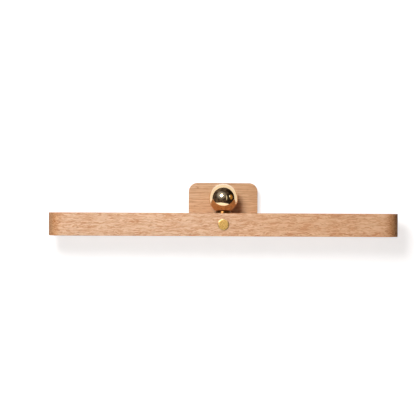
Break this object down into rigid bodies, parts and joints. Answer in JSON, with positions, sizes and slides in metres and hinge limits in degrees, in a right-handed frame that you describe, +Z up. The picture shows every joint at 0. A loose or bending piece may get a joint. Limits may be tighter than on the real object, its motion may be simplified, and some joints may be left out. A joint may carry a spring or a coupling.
{
  "type": "rechargeable wall light",
  "caption": "Wooden light bar held by a magnetic cup on a plated steel ball, on a small wooden wall plate, with a brass push button.",
  "frame": {"origin": "on the wall, at the adhesive pad's back face, straight behind the ball's centre", "axes": "+X along the bar to the viewer's right, +Y into the wall, +Z up"},
  "size_m": [0.3, 0.0423, 0.0459],
  "materials": {
    "beech": "oiled fine-grained beech",
    "gold_plate": "mirror-polished gold plating over steel",
    "polished_brass": "turned and polished brass",
    "brushed_brass": "brushed satin brass",
    "zinc_steel": "zinc-plated steel",
    "nickel_plate": "nickel-plated magnet",
    "bare_aluminium": "satin sheet",
    "opal_plastic": "opal satin acrylic",
    "foam_tape": "closed-cell foam tape",
    "white_board": "white solder mask",
    "green_board": "green solder mask",
    "diode_package": "yellow phosphor in a white package",
    "cell_foil": "laminated foil pouch",
    "lead_insulation": "silicone insulation",
    "black_plastic": "moulded plastic",
    "clear_plastic": "clear moulded rod"
  },
  "bodies": {
    "wall_base": {"wall_plate": "beech", "adhesive_pad": "foam_tape"},
    "stem": {"neck": "polished_brass", "stem_screw": "zinc_steel"},
    "swivel_ball": {"ball": "gold_plate"},
    "magnet_seat": {"seat_collar": "polished_brass", "seat_magnet": "nickel_plate", "magnet_yoke": "zinc_steel"},
    "light_bar": {"bar_body": "beech", "diffuser": "opal_plastic", "light_tray": "bare_aluminium", "tray_screws": "zinc_steel", "light_strip": "white_board", "diodes": "diode_package", "strip_leads": "lead_insulation", "seat_retainer": "zinc_steel", "retainer_screws": "zinc_steel", "battery_left": "cell_foil", "battery_right": "cell_foil", "cell_pads": "foam_tape", "cell_leads": "lead_insulation", "main_board": "green_board", "board_pad": "foam_tape", "board_parts": "black_plastic", "socket_shell": "zinc_steel", "socket_tongue": "black_plastic", "charge_light": "clear_plastic", "switch_board": "green_board", "tact_switch": "black_plastic"},
    "button": {"button_cap": "brushed_brass", "button_clip": "zinc_steel", "tact_plunger": "black_plastic"}
  },
  "joints": [
    {"name": "roll", "type": "hinge", "parent": "wall_base", "child": "stem", "pos_m": [0, -0.0265, 0], "axis": [0, 1, 0], "continuous": true},
    {"name": "tilt", "type": "hinge", "parent": "stem", "child": "swivel_ball", "pos_m": [0, -0.0265, 0], "axis": [-1, 0, 0], "range_deg": [0, 180]},
    {"name": "pull_off", "type": "slide", "parent": "swivel_ball", "child": "magnet_seat", "axis": [0, 0, -1], "range_m": [0, 0.04]},
    {"name": "twist", "type": "hinge", "parent": "magnet_seat", "child": "light_bar", "pos_m": [0, -0.0265, 0], "axis": [0, 0, 1], "range_deg": [-2, 2]},
    {"name": "button_press", "type": "slide", "parent": "light_bar", "child": "button", "axis": [0, 1, 0], "range_m": [0, 0.0005], "stiffness_N_per_m": 3000, "springref_m": -0.0002}
  ]
}
